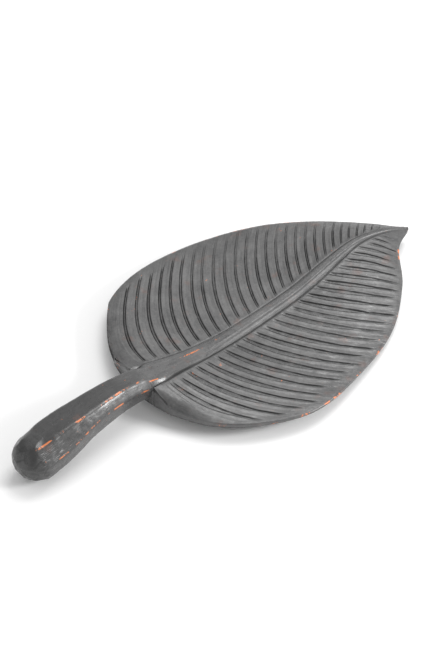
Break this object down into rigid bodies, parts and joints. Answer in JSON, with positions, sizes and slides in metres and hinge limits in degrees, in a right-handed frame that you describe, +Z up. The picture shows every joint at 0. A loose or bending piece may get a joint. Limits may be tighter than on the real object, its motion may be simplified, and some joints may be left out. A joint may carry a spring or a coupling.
{
  "type": "carved leaf tray",
  "caption": "Shallow carved leaf-shaped wooden tray with a raised midrib that runs into a club-shaped handle.",
  "frame": {"origin": "centre of the bounding box, on the table under the tray", "axes": "+Y from the handle to the leaf tip, +X to the right looking from handle to tip, +Z up"},
  "size_m": [0.231, 0.4352, 0.0473],
  "materials": {
    "painted_leaf": "satin graphite paint with copper rub-through at the rim",
    "painted_stalk": "glossy graphite paint with copper rub-through on the crest",
    "bare_dowel": "bare hardwood"
  },
  "bodies": {
    "root": {"stalk": "painted_stalk", "leaf_half_left": "painted_leaf", "leaf_half_right": "painted_leaf", "dowel_1": "bare_dowel", "dowel_2": "bare_dowel", "dowel_3": "bare_dowel", "dowel_4": "bare_dowel", "dowel_5": "bare_dowel"}
  },
  "joints": []
}
